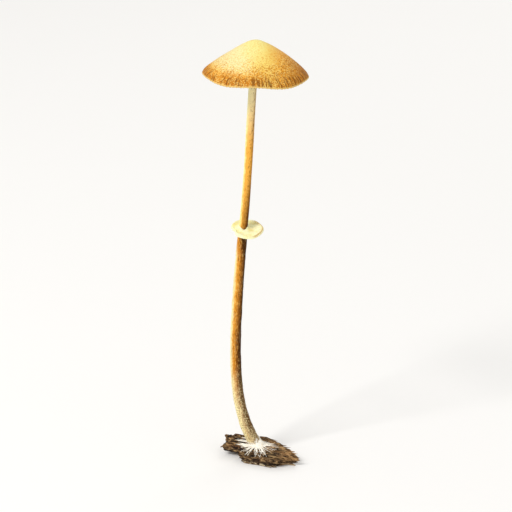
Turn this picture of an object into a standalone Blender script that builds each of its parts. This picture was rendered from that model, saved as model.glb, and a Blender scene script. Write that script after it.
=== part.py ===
"""Slender ringed mushroom on a scrap of rotten wood, standing as it was picked.

Lengths are worked out in millimetres and stored in metres. The underside of the wood lies
in the plane Z = 0, and the cap stands over the origin.
"""

import math
import random

import bmesh
import bpy
from mathutils import Matrix, Vector

MM = 0.001
GAP = 0.15  # clearance between pieces that touch

# Cap: outer profile as (radius, height above the margin), from the top down.
CAP_RADIUS = 12.05
CAP_Z = 92.35  # height of the margin
CAP_PROFILE = [
    (0.0, 8.0),
    (1.3, 7.8),
    (2.6, 7.15),
    (4.2, 6.1),
    (6.0, 4.85),
    (8.0, 3.45),
    (9.6, 2.3),
    (10.9, 1.25),
    (11.7, 0.5),
    (CAP_RADIUS, 0.0),
]
LIP = 0.12  # how far the margin curls in and down
FLESH_AT_TOP = 1.5
FLESH_AT_MARGIN = 0.45
UNDERSIDE_RADII = (11.45, 10.7, 9.3, 7.4, 5.5, 3.5, 2.2, 1.3)
CAP_DROOP = 0.6  # how far the margin hangs down at +X, and lifts at -X
CAP_LEAN = 0.3  # how far the top stands to +X of the margin's centre
CAP_BULGE = 0.25  # how much fuller the slope at +X is than that at -X
PLEATS = 44  # one over each gill
PLEAT_DEPTH = 0.14
PLEATS_BEGIN = 6.5
MARGIN_WAVE = 0.25
MARGIN_WAVES = 5

# Gills: plates that hang from the thin layer of flesh under the cap.
FULL_GILLS = 22
GILL_THICKNESS = 0.6
GILL_LAYER = 0.45
GILL_LAYER_RADII = (1.3, 2.6, 4.5, 6.5, 8.5, 10.0, 11.1)
FULL_GILL_START = 2.6
SHORT_GILL_START = 5.5
GILL_EDGE = [(2.6, 4.2), (3.4, 3.1), (5.0, 2.15), (7.0, 1.35), (9.0, 0.65), (10.2, 0.25), (10.8, 0.05)]
GILL_ROOT = 0.25  # how deep a gill is sunk into its layer

# Stem: centre line as (x, z) from the foot in the wood to the flesh of the cap.
STEM_ROUTE = [
    (0.93, 1.3),
    (0.13, 2.8),
    (-1.42, 5.6),
    (-2.67, 9.0),
    (-3.77, 13.5),
    (-4.47, 20.0),
    (-4.62, 29.0),
    (-4.22, 38.0),
    (-3.67, 47.0),
    (-3.07, 55.0),
    (-2.47, 62.0),
    (-1.77, 72.0),
    (-1.17, 82.0),
    (-0.57, 91.0),
    (0.03, 98.6),
]
FOOT_Y = -1.3  # the foot stands in front of the cap's middle
STEM_BOW = 1.2  # how far the middle of the stem bends to +Y
STEM_RADII = [(0, 1.5), (6, 1.4), (14, 1.27), (35, 1.22), (56, 1.12), (62, 1.0), (99, 0.92)]
STEM_STEPS = 3  # steps of the tube for each stretch of the route
STEM_SIDES = 6  # bevel resolution: 16 sides

# Ring: a tilted collar about the middle of the stem, wider towards +X.
RING_Z = 55.9
RING_RADIUS = 3.6
RING_PROFILE = [
    (0.0, 0.1),
    (1.5, 0.1),
    (2.1, -0.02),
    (2.7, 0.14),
    (3.25, 0.3),
    (3.55, 0.2),
    (RING_RADIUS, 0.0),
    (3.35, -0.25),
    (2.5, -0.5),
    (1.6, -0.85),
    (1.3, -1.15),
    (0.0, -1.15),
]
RING_BORE = 1.3
RING_OFFSET = 1.0  # how far the rim's centre lies to +X of the stem
RING_TILT = math.radians(13)  # the front hangs down
RING_LEAN = math.radians(5)
RING_RIDGES = 28
RING_RIDGE_HEIGHT = 0.07

# Wood: long fibres side by side along the grain, from the back to the front.
WOOD_HEIGHT = 2.8
GRAIN_ANGLE = math.radians(-23)
FIRST_FIBRE = 4.6  # how far the middle of the hindmost fibre lies from the origin
FIBRE_PITCH = 0.9
FIBRE_WIDTH = 1.14  # neighbours overlap by the difference, so that they join
FIBRE_BEVEL = 0.16
# Each fibre is (start, end, height above WOOD_HEIGHT), measured along the grain.
FIBRES = [
    (-1.3, 3.2, -0.5),
    (-4.0, 4.3, -0.25),
    (-5.5, 5.5, 0.0),
    (-7.5, 6.4, 0.12),
    (-8.3, 7.5, 0.0),
    (-7.2, 8.8, 0.1),
    (-7.9, 10.2, 0.0),
    (-6.3, 11.6, -0.12),
    (-7.4, 10.4, 0.05),
    (-7.8, 12.4, 0.0),
    (-2.6, 11.2, -0.1),
    (-1.3, 10.1, -0.25),
    (-1.9, 9.0, -0.55),
]
SPLINTER = 1.7  # length of the point at the +X end of a fibre
BLUNT_END = 0.6  # how far the other end is cut back on one side
UNDERCUT = 1.0  # how much shorter each end is underneath
SPARE_UNDER = 0.2  # cut away level with the ground once the fibres are one
GROUND = 30.0  # radius and depth of the block that does this

# Mycelium: a low white cone about the foot, with strands that lie on the wood.
MAT_CENTRE = (0.2, -1.6)
MAT_RADIUS = 2.5
MAT_TOP_RADIUS = 1.6
MAT_HEIGHT = 1.05
STRAND_CENTRE = (0.35, -2.3)
STRANDS = 32
STRAND_LENGTH = 3.5
STRAND_SPREAD = 0.5  # how far a length may fall to either side of that
LONGER_IN_FRONT = 1.4
SHORTER_BEHIND = 0.7
STRAND_START = 0.6  # inside the cone
STRAND_ROOT = 1.0  # width there
STRAND_WAIST = 0.56  # the share of that width that is left halfway
STRAND_BEND = 0.25
STRAND_HEIGHT = 0.5
TIP_HEIGHT = 0.22
SUNK_IN_WOOD = 0.5  # cut away with a copy of the wood
MAT_SEED = 7


def clear_scene():
    for obj in list(bpy.data.objects):
        bpy.data.objects.remove(obj, do_unlink=True)


def collection(name):
    made = bpy.data.collections.new(name)
    bpy.context.scene.collection.children.link(made)
    return made


def material(name, colour, roughness):
    made = bpy.data.materials.new(name)
    made.use_nodes = True
    shader = made.node_tree.nodes["Principled BSDF"]
    shader.inputs["Base Color"].default_value = (*colour, 1.0)
    shader.inputs["Roughness"].default_value = roughness
    shader.inputs["Metallic"].default_value = 0.0
    return made


def smooth_through(points, steps):
    """Points of a Catmull-Rom curve through the given ones, with this many steps for each stretch."""
    ends = [Vector(p) for p in points]
    ends = [2 * ends[0] - ends[1], *ends, 2 * ends[-1] - ends[-2]]
    curve = []
    for before, start, stop, after in zip(ends, ends[1:], ends[2:], ends[3:]):
        for step in range(steps):
            t = step / steps
            curve.append(
                start
                + 0.5 * t * (stop - before)
                + t * t * (before - 2.5 * start + 2 * stop - 0.5 * after)
                + t * t * t * (1.5 * (start - stop) + 0.5 * (after - before))
            )
    curve.append(ends[-2])
    return curve


def level_at(table, x):
    """Straight-line reading of a table of (x, value)."""
    for (x0, v0), (x1, v1) in zip(table, table[1:]):
        if x <= x1:
            return v0 + (v1 - v0) * max(0.0, (x - x0) / (x1 - x0))
    return table[-1][1]


def add_object(name, mesh, where):
    made = bpy.data.objects.new(name, mesh)
    where.objects.link(made)
    return made


def as_mesh(obj):
    """The object as the viewport shows it, as a closed mesh; the object itself is removed."""
    bpy.context.view_layer.update()
    graph = bpy.context.evaluated_depsgraph_get()
    mesh = bpy.data.meshes.new_from_object(obj.evaluated_get(graph))
    mesh.transform(obj.matrix_world)
    bpy.data.objects.remove(obj, do_unlink=True)
    shape = bmesh.new()
    shape.from_mesh(mesh)
    bmesh.ops.remove_doubles(shape, verts=shape.verts, dist=1e-7)
    bmesh.ops.dissolve_degenerate(shape, dist=1e-8, edges=shape.edges)
    shape.to_mesh(mesh)
    shape.free()
    return mesh


def turned(profile, steps, where):
    """A solid of revolution about Z. The profile runs down the outer side and back in underneath."""
    mesh = bpy.data.meshes.new("profile")
    rim = [(r * MM, 0, z * MM) for r, z in profile]
    mesh.from_pydata(rim, [(i, i + 1) for i in range(len(rim) - 1)], [])
    obj = add_object("profile", mesh, where)
    screw = obj.modifiers.new("turn", "SCREW")
    screw.axis = "Z"
    screw.angle = math.tau
    screw.steps = steps
    screw.render_steps = steps
    screw.use_merge_vertices = True
    screw.merge_threshold = 1e-7
    return as_mesh(obj)


def tube(points, radii, where):
    """A tube of changing radius along the points."""
    data = bpy.data.curves.new("tube", "CURVE")
    data.dimensions = "3D"
    data.bevel_depth = MM
    data.bevel_resolution = STEM_SIDES
    data.use_fill_caps = True
    line = data.splines.new("POLY")
    line.points.add(len(points) - 1)
    for spot, point, radius in zip(line.points, points, radii):
        spot.co = (*(MM * c for c in point), 1)
        spot.radius = radius
    obj = bpy.data.objects.new("tube", data)
    where.objects.link(obj)
    return as_mesh(obj)


def plate(outline, thickness, where):
    """A flat plate cut to an outline in X and Y, centred on its plane."""
    data = bpy.data.curves.new("plate", "CURVE")
    data.dimensions = "2D"
    data.fill_mode = "BOTH"
    data.extrude = 0.5 * thickness * MM
    line = data.splines.new("POLY")
    line.points.add(len(outline) - 1)
    for spot, (x, y) in zip(line.points, outline):
        spot.co = (x * MM, y * MM, 0, 1)
    line.use_cyclic_u = True
    obj = bpy.data.objects.new("plate", data)
    where.objects.link(obj)
    return as_mesh(obj)


def reshape(mesh, form):
    for vertex in mesh.vertices:
        vertex.co = Vector(form(vertex.co / MM)) * MM


def boolean(obj, operation, others, solver="EXACT"):
    """Joins or cuts with the objects of a collection, which are then removed."""
    cut = obj.modifiers.new(operation.lower(), "BOOLEAN")
    cut.operation = operation
    cut.operand_type = "COLLECTION"
    cut.collection = others
    cut.solver = solver
    bpy.context.view_layer.update()
    graph = bpy.context.evaluated_depsgraph_get()
    mesh = bpy.data.meshes.new_from_object(obj.evaluated_get(graph))
    obj.modifiers.clear()
    obj.data = mesh
    for other in list(others.objects):
        bpy.data.objects.remove(other, do_unlink=True)


def drop_crumbs(mesh):
    """Removes the loose scraps that a cut leaves beside the one large body."""
    shape = bmesh.new()
    shape.from_mesh(mesh)
    unseen = set(shape.verts)
    bodies = []
    while unseen:
        body = {unseen.pop()}
        edge_of_body = list(body)
        while edge_of_body:
            vertex = edge_of_body.pop()
            near = {e.other_vert(vertex) for e in vertex.link_edges} & unseen
            unseen -= near
            body |= near
            edge_of_body.extend(near)
        bodies.append(body)
    bodies.sort(key=len)
    crumbs = [v for body in bodies[:-1] for v in body]
    bmesh.ops.delete(shape, geom=crumbs, context="VERTS")
    shape.to_mesh(mesh)
    shape.free()


def finish(obj, look, angle=40):
    """Gives a piece its one material and its shading."""
    obj.data.name = obj.name
    obj.data.materials.clear()
    obj.data.materials.append(look)
    obj.data.polygons.foreach_set("material_index", [0] * len(obj.data.polygons))
    obj.data.shade_smooth()
    obj.data.set_sharp_from_angle(angle=math.radians(angle))
    return obj


def cap_outer(r):
    return level_at(CAP_CURVE, r)


def cap_inner(r):
    """Underside of the cap's flesh, above the margin's plane."""
    share = min(1.0, r / CAP_RADIUS)
    return cap_outer(r) - FLESH_AT_TOP * (1 - share) - FLESH_AT_MARGIN * share


def cap_form(point):
    """Grows the round cap and its gills into shape: a lean, a droop, pleats and a wavy margin."""
    r = math.hypot(point.x, point.y)
    share = r / CAP_RADIUS
    angle = math.atan2(point.y, point.x)
    fade = max(0.0, (r - PLEATS_BEGIN) / (CAP_RADIUS - PLEATS_BEGIN))
    pleat = PLEAT_DEPTH * fade * (0.5 - 0.5 * math.cos(PLEATS * angle))
    wave = -MARGIN_WAVE * share**3 * math.sin(MARGIN_WAVES * angle)
    droop = CAP_DROOP * math.cos(angle) * share**3
    bulge = CAP_BULGE * math.cos(angle) * math.sin(math.pi * min(1.0, share))
    return (point.x + CAP_LEAN * (1 - share), point.y, point.z - pleat - droop + bulge + wave)


CAP_CURVE = [(p.x, p.y) for p in smooth_through(CAP_PROFILE, 2)]
CAP_PLACE = Matrix.Translation((0, 0, CAP_Z * MM))


def stem_points():
    """The stem's centre line as (x, y, z), and its radius at each point."""
    top = STEM_ROUTE[-1][1]
    points = []
    for x, z in smooth_through(STEM_ROUTE, STEM_STEPS):
        y = FOOT_Y * (1 - z / top) + STEM_BOW * math.sin(math.pi * z / top)
        points.append((x, y, z))
    return points, [level_at(STEM_RADII, p[2]) for p in points]


def stem_cutter(where):
    """The stem with its clearance, for the hole in each piece that it passes through."""
    points, radii = stem_points()
    first, second = Vector(points[0]), Vector(points[1])
    below = first + (first - second).normalized() * GAP
    mesh = tube([below, *points[1:]], [r + GAP for r in radii], where)
    return add_object("stem_hole", mesh, where)


def make_cap(where, look):
    lip = (CAP_RADIUS - LIP, -LIP)
    underside = [(r, cap_inner(r)) for r in UNDERSIDE_RADII]
    seat = (0.0, underside[-1][1])
    mesh = turned([*CAP_CURVE, lip, *underside, seat], 2 * PLEATS, where)
    reshape(mesh, cap_form)
    mesh.transform(CAP_PLACE)
    return finish(add_object("cap", mesh, where), look)


def gill_plate(start, where):
    """One gill, upright in the plane of X and Z, from its start to the rim."""
    edge = [(r, z) for r, z in GILL_EDGE if r > start]
    edge.insert(0, (start, level_at(GILL_EDGE, start)))
    root = [(r, layer_under(r) + GILL_ROOT) for r, _ in edge]
    mesh = plate([*edge, *reversed(root)], GILL_THICKNESS, where)
    mesh.transform(Matrix.Rotation(math.pi / 2, 4, "X"))
    return mesh


def layer_top(r):
    return cap_inner(r) - GAP


def layer_under(r):
    return layer_top(r) - GILL_LAYER


def make_gills(where, plates, look):
    top = [(r, layer_top(r)) for r in GILL_LAYER_RADII]
    under = [(r, layer_under(r)) for r in reversed(GILL_LAYER_RADII)]
    gills = add_object("gills", turned([*top, *under, top[0]], PLEATS, where), where)
    long_gill = gill_plate(FULL_GILL_START, where)
    short_gill = gill_plate(SHORT_GILL_START, where)
    for i in range(2 * FULL_GILLS):
        blade = add_object("gill", long_gill if i % 2 == 0 else short_gill, plates)
        blade.rotation_euler.z = math.tau * (i + 0.5) / (2 * FULL_GILLS)
    boolean(gills, "UNION", plates)
    reshape(gills.data, cap_form)
    gills.data.transform(CAP_PLACE)
    return finish(gills, look, 30)


def make_stem(where, look):
    points, radii = stem_points()
    return finish(add_object("stem", tube(points, radii, where), where), look)


def ring_form(point):
    """Shifts the rim to one side and raises the ridges on its upper side."""
    r = math.hypot(point.x, point.y)
    out = max(0.0, r - RING_BORE) / (RING_RADIUS - RING_BORE)
    angle = math.atan2(point.y, point.x)
    ridge = RING_RIDGE_HEIGHT * out * math.cos(RING_RIDGES * angle)
    return (point.x + RING_OFFSET * out, point.y, point.z + ridge)


def make_ring(where, holes, look):
    mesh = turned(RING_PROFILE, 2 * RING_RIDGES, where)
    reshape(mesh, ring_form)
    points, _ = stem_points()
    x = level_at([(p[2], p[0]) for p in points], RING_Z)
    y = level_at([(p[2], p[1]) for p in points], RING_Z)
    place = Matrix.Translation((x * MM, y * MM, RING_Z * MM))
    mesh.transform(place @ Matrix.Rotation(RING_LEAN, 4, "Y") @ Matrix.Rotation(RING_TILT, 4, "X"))
    ring = add_object("ring", mesh, where)
    stem_cutter(holes)
    boolean(ring, "DIFFERENCE", holes)
    return finish(ring, look)


def make_fibre(number, where):
    """One fibre of the wood: a bevelled bar along X that ends in a splinter."""
    start, end, rise = FIBRES[number]
    side = 0.5 * FIBRE_WIDTH * (-1) ** number
    outline = [
        (start, side),
        (start + BLUNT_END, -side),
        (end - SPLINTER, -side),
        (end, 0.3 * side),
        (end - 0.6 * SPLINTER, side),
    ]
    spare = SPARE_UNDER * (1 + number % 3)
    height = WOOD_HEIGHT + rise + spare
    middle = 0.5 * (start + end)
    mesh = plate(outline, height, where)

    def stand(point):
        shorter = math.copysign(UNDERCUT, point.x - middle) if point.z < 0 else 0
        return (point.x - shorter, point.y, point.z + 0.5 * height - spare)

    reshape(mesh, stand)
    shape = bmesh.new()
    shape.from_mesh(mesh)
    bmesh.ops.recalc_face_normals(shape, faces=shape.faces)
    top = [e for e in shape.edges if all(v.co.z > MM for v in e.verts)]
    outer = [e for e in top if len({round(f.normal.z) for f in e.link_faces}) > 1]
    bmesh.ops.bevel(shape, geom=outer, offset=FIBRE_BEVEL * MM, segments=1, affect="EDGES")
    shape.to_mesh(mesh)
    shape.free()
    across = FIRST_FIBRE - number * FIBRE_PITCH
    mesh.transform(Matrix.Translation((0, across * MM, 0)))
    mesh.transform(Matrix.Rotation(GRAIN_ANGLE, 4, "Z"))
    return mesh


def make_wood(where, fibres, holes, look):
    meshes = [make_fibre(i, where) for i in range(len(FIBRES))]
    wood = add_object("wood", meshes[0], where)
    for mesh in meshes[1:]:
        add_object("fibre", mesh, fibres)
    boolean(wood, "UNION", fibres)
    ground = turned([(0, 0), (GROUND, 0), (GROUND, -GROUND), (0, -GROUND)], 8, where)
    add_object("ground", ground, holes)
    stem_cutter(holes)
    boolean(wood, "DIFFERENCE", holes)
    return finish(wood, look, 20)


def make_strand(length, bend, where):
    """One strand of mycelium along X, tapering to its tip, and sunk into the wood before the cut."""
    middle = 0.55 * length
    root = 0.5 * STRAND_ROOT
    waist = STRAND_WAIST * root
    outline = [
        (STRAND_START, -root),
        (middle, bend - waist),
        (length, 1.6 * bend),
        (middle, bend + waist),
        (STRAND_START, root),
    ]
    mesh = plate(outline, 1.0, where)

    def slope(point):
        share = point.x / length
        rise = STRAND_HEIGHT * (1 - share) + TIP_HEIGHT * share
        return (point.x, point.y, rise if point.z > 0 else -SUNK_IN_WOOD)

    reshape(mesh, slope)
    return mesh


def on_wood(spot):
    return Matrix.Translation((spot[0] * MM, spot[1] * MM, WOOD_HEIGHT * MM))


def make_mycelium(where, strands, holes, wood, look):
    rng = random.Random(MAT_SEED)
    foot = -SUNK_IN_WOOD
    cone = [
        (0.0, MAT_HEIGHT),
        (MAT_TOP_RADIUS, MAT_HEIGHT),
        (MAT_RADIUS, STRAND_HEIGHT),
        (MAT_RADIUS, foot),
        (0.0, foot),
    ]
    mesh = turned(cone, STRANDS, where)
    mesh.transform(on_wood(MAT_CENTRE))
    mat = add_object("mycelium", mesh, where)
    for i in range(STRANDS):
        angle = math.tau * (i + rng.uniform(-0.25, 0.25)) / STRANDS
        front = -math.sin(angle)
        length = STRAND_LENGTH + rng.uniform(-STRAND_SPREAD, STRAND_SPREAD)
        length += LONGER_IN_FRONT * max(0.0, front) + SHORTER_BEHIND * min(0.0, front)
        mesh = make_strand(length, rng.uniform(-STRAND_BEND, STRAND_BEND), where)
        mesh.transform(on_wood(STRAND_CENTRE) @ Matrix.Rotation(angle, 4, "Z"))
        add_object("strand", mesh, strands)
    boolean(mat, "UNION", strands)
    for away in ((0, 0, 1), (1, 0, 0), (-1, 0, 0), (0, 1, 0), (0, -1, 0)):
        shifted = wood.data.copy()
        shifted.transform(Matrix.Translation(GAP * MM * Vector(away)))
        add_object("wood_cutter", shifted, holes)
        boolean(mat, "DIFFERENCE", holes, "MANIFOLD")
    stem_cutter(holes)
    boolean(mat, "DIFFERENCE", holes)
    drop_crumbs(mat.data)
    return finish(mat, look, 30)


def main():
    clear_scene()
    parts = collection("ringed_mushroom")
    repeats = collection("repeats")
    cutters = collection("cutters")
    make_cap(parts, material("cap_skin", (0.72, 0.43, 0.13), 0.6))
    make_gills(parts, repeats, material("gill_brown", (0.42, 0.21, 0.08), 0.8))
    make_stem(parts, material("stem_tan", (0.62, 0.36, 0.12), 0.6))
    make_ring(parts, cutters, material("ring_cream", (0.86, 0.79, 0.5), 0.7))
    wood = make_wood(parts, repeats, cutters, material("rotten_wood", (0.15, 0.09, 0.045), 0.9))
    make_mycelium(parts, repeats, cutters, wood, material("mycelium_white", (0.86, 0.83, 0.76), 0.9))
    bpy.data.collections.remove(repeats)
    bpy.data.collections.remove(cutters)


main()
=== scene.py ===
# %% [markdown]
# # A ringed mushroom on a scrap of rotten wood
#
# The part that this scene dresses is a slender mushroom: a low honey-coloured cone on a
# bowed stem, with a skirt of skin halfway up, white threads at its foot and the scrap of
# dead wood that they live in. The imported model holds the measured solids. This lesson
# builds the visible surface over them in the same frame, and gives it materials that are
# worked out from its shape alone, with no pictures.
#
# Sizes are written in millimetres, because the whole mushroom is ten centimetres tall,
# and are turned into metres when a mesh is made.

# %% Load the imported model
import math
import random

import bmesh
import bpy
from mathutils import Matrix, Vector, noise


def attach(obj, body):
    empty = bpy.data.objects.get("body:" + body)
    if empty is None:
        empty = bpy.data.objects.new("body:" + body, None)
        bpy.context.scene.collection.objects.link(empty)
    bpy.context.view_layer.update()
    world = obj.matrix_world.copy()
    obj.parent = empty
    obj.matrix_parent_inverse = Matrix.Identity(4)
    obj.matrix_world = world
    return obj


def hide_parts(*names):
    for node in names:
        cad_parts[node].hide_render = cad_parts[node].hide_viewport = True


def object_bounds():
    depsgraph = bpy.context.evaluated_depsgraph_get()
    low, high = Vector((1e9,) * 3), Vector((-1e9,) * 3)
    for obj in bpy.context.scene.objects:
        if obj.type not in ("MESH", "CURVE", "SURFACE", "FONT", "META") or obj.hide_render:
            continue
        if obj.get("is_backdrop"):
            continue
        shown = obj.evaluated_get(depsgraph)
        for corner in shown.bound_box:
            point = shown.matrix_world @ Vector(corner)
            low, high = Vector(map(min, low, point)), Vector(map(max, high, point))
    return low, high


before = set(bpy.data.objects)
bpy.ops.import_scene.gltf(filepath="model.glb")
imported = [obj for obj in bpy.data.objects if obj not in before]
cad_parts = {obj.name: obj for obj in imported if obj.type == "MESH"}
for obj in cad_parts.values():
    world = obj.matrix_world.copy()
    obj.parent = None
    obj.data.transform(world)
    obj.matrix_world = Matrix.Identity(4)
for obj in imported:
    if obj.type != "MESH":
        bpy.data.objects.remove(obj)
cad_low, cad_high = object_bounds()
MM = 0.001
print("nodes:", sorted(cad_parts))
print("box in mm:", [round(c / MM, 2) for c in (*cad_low, *cad_high)])

# %% [markdown]
# ## Camera
#
# The mushroom is seen from a little above, so the cap shows its top and the ring its
# upper side. A long lens from more than half a metre away keeps the stem from widening
# towards the foot. An orthographic camera would do that too, but a long lens still gives
# the slight depth of a real view.

# %% Camera
EYE = Vector((0.11, -570.0, 242.92))
AIM = Vector((0.11, 0.0, 49.19))
LENS = 183.7
SENSOR = 36.0


def put(name, data):
    """Adds an object to the scene."""
    made = bpy.data.objects.new(name, data)
    bpy.context.scene.collection.objects.link(made)
    return made


lens = bpy.data.cameras.new("camera")
lens.lens = LENS
lens.sensor_width = SENSOR
lens.clip_start = 0.01
lens.clip_end = 10.0
camera = put("camera", lens)
camera.location = EYE * MM
camera.rotation_euler = (AIM - EYE).to_track_quat("-Z", "Y").to_euler()
bpy.context.scene.camera = camera
down = math.degrees(math.asin((EYE.z - AIM.z) / (EYE - AIM).length))
print(f"camera looks down by {down:.1f} degrees from {(EYE - AIM).length:.0f} mm")

# %% [markdown]
# ## Light
#
# A pale table and soft studio light. The key comes from the upper left through a wide
# panel, and a nearly white surround fills the shadows as a light tent does. A hard sun
# would draw black gaps between the gills and the fibres, and hide what was built there.
# The plain Standard curve shows the picture, so the colours come out as they were mixed.

# %% Floor, surround and panels
SURROUND = (1.0, 0.99, 0.97, 1.0)
SURROUND_STRENGTH = 0.62


def panel(name, place, aim, size, watts, colour):
    """A square soft light; place and aim are in millimetres."""
    light = bpy.data.lights.new(name, "AREA")
    light.size = size * MM
    light.energy = watts
    light.color = colour
    made = put(name, light)
    made.location = Vector(place) * MM
    made.rotation_euler = (Vector(aim) - Vector(place)).to_track_quat("-Z", "Y").to_euler()
    print(f"{name}: {watts} W, {size:.0f} mm wide")


panel("key", (-700, -600, 900), (0, 0, 55), 420, 9.2, (1.0, 0.975, 0.945))
panel("fill", (600, -600, 240), (0, 0, 40), 520, 0.5, (0.97, 0.98, 1.0))
panel("rim", (240, 640, 520), (0, 0, 60), 400, 0.9, (1.0, 0.98, 0.95))

bpy.context.scene.view_settings.view_transform = "Standard"
world = bpy.data.worlds.new("surround")
bpy.context.scene.world = world
world.use_nodes = True
background = world.node_tree.nodes["Background"].inputs
background["Color"].default_value = SURROUND
background["Strength"].default_value = SURROUND_STRENGTH

# %% [markdown]
# ## Writing a material as sums
#
# Every finish here is a sum of a few causes: how near the margin a spot is, on which side
# it lies, whether a grain sits on it. Drawn as a web of nodes that is hard to read, so a
# small class wraps a socket and lets Python's own signs add the Math nodes. Then a mask
# reads as `1 - near * grain`. Colours and vectors would turn grey in a Math node, so they
# go through Mix and Vector Math nodes, made by the one method that makes every node.


# %% Sockets with arithmetic
def arithmetic(operation):
    """The two methods of a sign, with the amount to its left and to its right."""
    return (
        lambda amount, other: amount.sum(operation, amount, other),
        lambda amount, other: amount.sum(operation, other, amount),
    )


class Amount:
    """A number that changes over a surface; arithmetic on it adds Math nodes."""

    __add__, __radd__ = arithmetic("ADD")
    __sub__, __rsub__ = arithmetic("SUBTRACT")
    __mul__, __rmul__ = arithmetic("MULTIPLY")
    __truediv__, __rtruediv__ = arithmetic("DIVIDE")
    __pow__, __rpow__ = arithmetic("POWER")

    def __init__(self, look, socket):
        self.look = look
        self.socket = socket

    def sum(self, operation, *values):
        return self.look.node("ShaderNodeMath", {"operation": operation}, dict(enumerate(values)))


class Look:
    """A material whose nodes are written as expressions."""

    def __init__(self, name, **fixed):
        self.material = bpy.data.materials.new(name)
        self.material.use_nodes = True
        self.tree = self.material.node_tree
        self.shader = self.tree.nodes["Principled BSDF"]
        for socket, value in fixed.items():
            self.shader.inputs[socket.replace("_", " ")].default_value = value

    def node(self, kind, settings, inputs, output=0):
        """Any node: its settings first, then the values or links of its sockets."""
        made = self.tree.nodes.new(kind)
        for name, value in settings.items():
            if name == "stops":
                ramp = made.color_ramp.elements
                while len(ramp) < len(value):
                    ramp.new(0.5)
                for stop, (place, colour) in zip(ramp, value):
                    stop.position = place
                    stop.color = colour
            else:
                setattr(made, name, value)
        for name, value in inputs.items():
            if isinstance(value, Amount):
                self.tree.links.new(value.socket, made.inputs[name])
            else:
                made.inputs[name].default_value = value
        return Amount(self, made.outputs[output])

    def wear(self, **changing):
        """Links what changes over the surface to the shader's sockets."""
        for name, value in changing.items():
            self.tree.links.new(value.socket, self.shader.inputs[name.replace("_", " ")])


print("a material is written as sums of masks")

# %% [markdown]
# A few steps come back in every material, so they are helpers: the place on the object in
# millimetres, a cloudy noise, a soft step between two values, the reading of a table, and
# colours laid over each other by their shares. Each takes the material from the socket
# that it gets. Colours are given as on a screen, from 0 to 255, and are turned into the
# linear values that a shader works with.


# %% Places, noises, steps and mixtures
def paint(red, green, blue):
    """A screen colour as the shader's linear colour."""
    parts = [c / 255 for c in (red, green, blue)]
    return (*(c / 12.92 if c <= 0.04045 else ((c + 0.055) / 1.055) ** 2.4 for c in parts), 1.0)


def stretched(vector, by):
    """A place with its axes multiplied; a factor below 1 draws a noise out along an axis."""
    return vector.look.node("ShaderNodeVectorMath", {"operation": "MULTIPLY"}, {0: vector, 1: by})


def place(look):
    """Place on the object in millimetres."""
    return stretched(look.node("ShaderNodeTexCoord", {}, {}, "Object"), (1 / MM, 1 / MM, 1 / MM))


def axes(vector):
    """The three numbers of a vector."""
    return [vector.look.node("ShaderNodeSeparateXYZ", {}, {0: vector}, i) for i in range(3)]


def cloud(vector, scale=1.0, detail=2.0, rough=0.5):
    """Noise around 0.5."""
    sockets = {"Vector": vector, "Scale": scale, "Detail": detail, "Roughness": rough}
    return vector.look.node("ShaderNodeTexNoise", {}, sockets)


def step(value, low, high):
    """0 below low, 1 above high, and smooth between; low may be the larger one."""
    sockets = {"Value": value, "From Min": low, "From Max": high}
    return value.look.node("ShaderNodeMapRange", {"interpolation_type": "SMOOTHSTEP"}, sockets)


def reading(value, table, span, low, high):
    """Reads a table of (value, result) by a ramp of greys, black at low and white at high."""
    greys = [(at / span, (result - low) / (high - low)) for at, result in table]
    stops = [(at, (grey, grey, grey, 1.0)) for at, grey in greys]
    ramp = value.look.node("ShaderNodeValToRGB", {"stops": stops}, {"Fac": value / span})
    return ramp * (high - low) + low


def mix(share, first, second):
    """Two colours, the second by its share."""
    settings = {"data_type": "RGBA", "clamp_factor": True}
    return share.look.node("ShaderNodeMix", settings, {0: share, 6: first, 7: second}, 2)


def layered(tone, *coats):
    """A tone under coats of other colours, each given as its share and its colour."""
    for share, colour in coats:
        tone = mix(share, tone, colour)
    return tone


def bump(height, depth, strength):
    """Small relief; depth in millimetres."""
    sockets = {"Height": height, "Distance": depth * MM, "Strength": strength}
    return height.look.node("ShaderNodeBump", {}, sockets)


print("screen white is", [round(c, 3) for c in paint(255, 255, 255)])

# %% Floor
FLOOR_HALF = 3.0
FLOOR_PALE = (0.94, 0.94, 0.935, 1.0)
FLOOR_GREY = (0.88, 0.88, 0.87, 1.0)

floor_look = Look("pale_table", Roughness=0.9)
floor_tone = cloud(place(floor_look), scale=0.02)
floor_look.wear(Base_Color=mix(floor_tone * 0.1, FLOOR_PALE, FLOOR_GREY))
floor_mesh = bpy.data.meshes.new("floor")
corners = [(x * FLOOR_HALF, y * FLOOR_HALF, 0) for x, y in ((-1, -1), (1, -1), (1, 1), (-1, 1))]
floor_mesh.from_pydata(corners, [], [(0, 1, 2, 3)])
floor_mesh.materials.append(floor_look.material)
floor = put("floor", floor_mesh)
floor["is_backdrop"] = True
print(f"floor: {2 * FLOOR_HALF} m wide, level with the underside of the wood")

# %% [markdown]
# ## Making meshes by sweeping
#
# Nearly everything in a mushroom grows by stretching along a line: the stem, a gill, a
# fibre, a thread. So one helper joins a row of rings into a closed skin, and the rest
# only works out where each ring's points lie. Bevelled curves would make plain tubes as
# well, but they can't fray, groove or flatten on the way.


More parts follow.
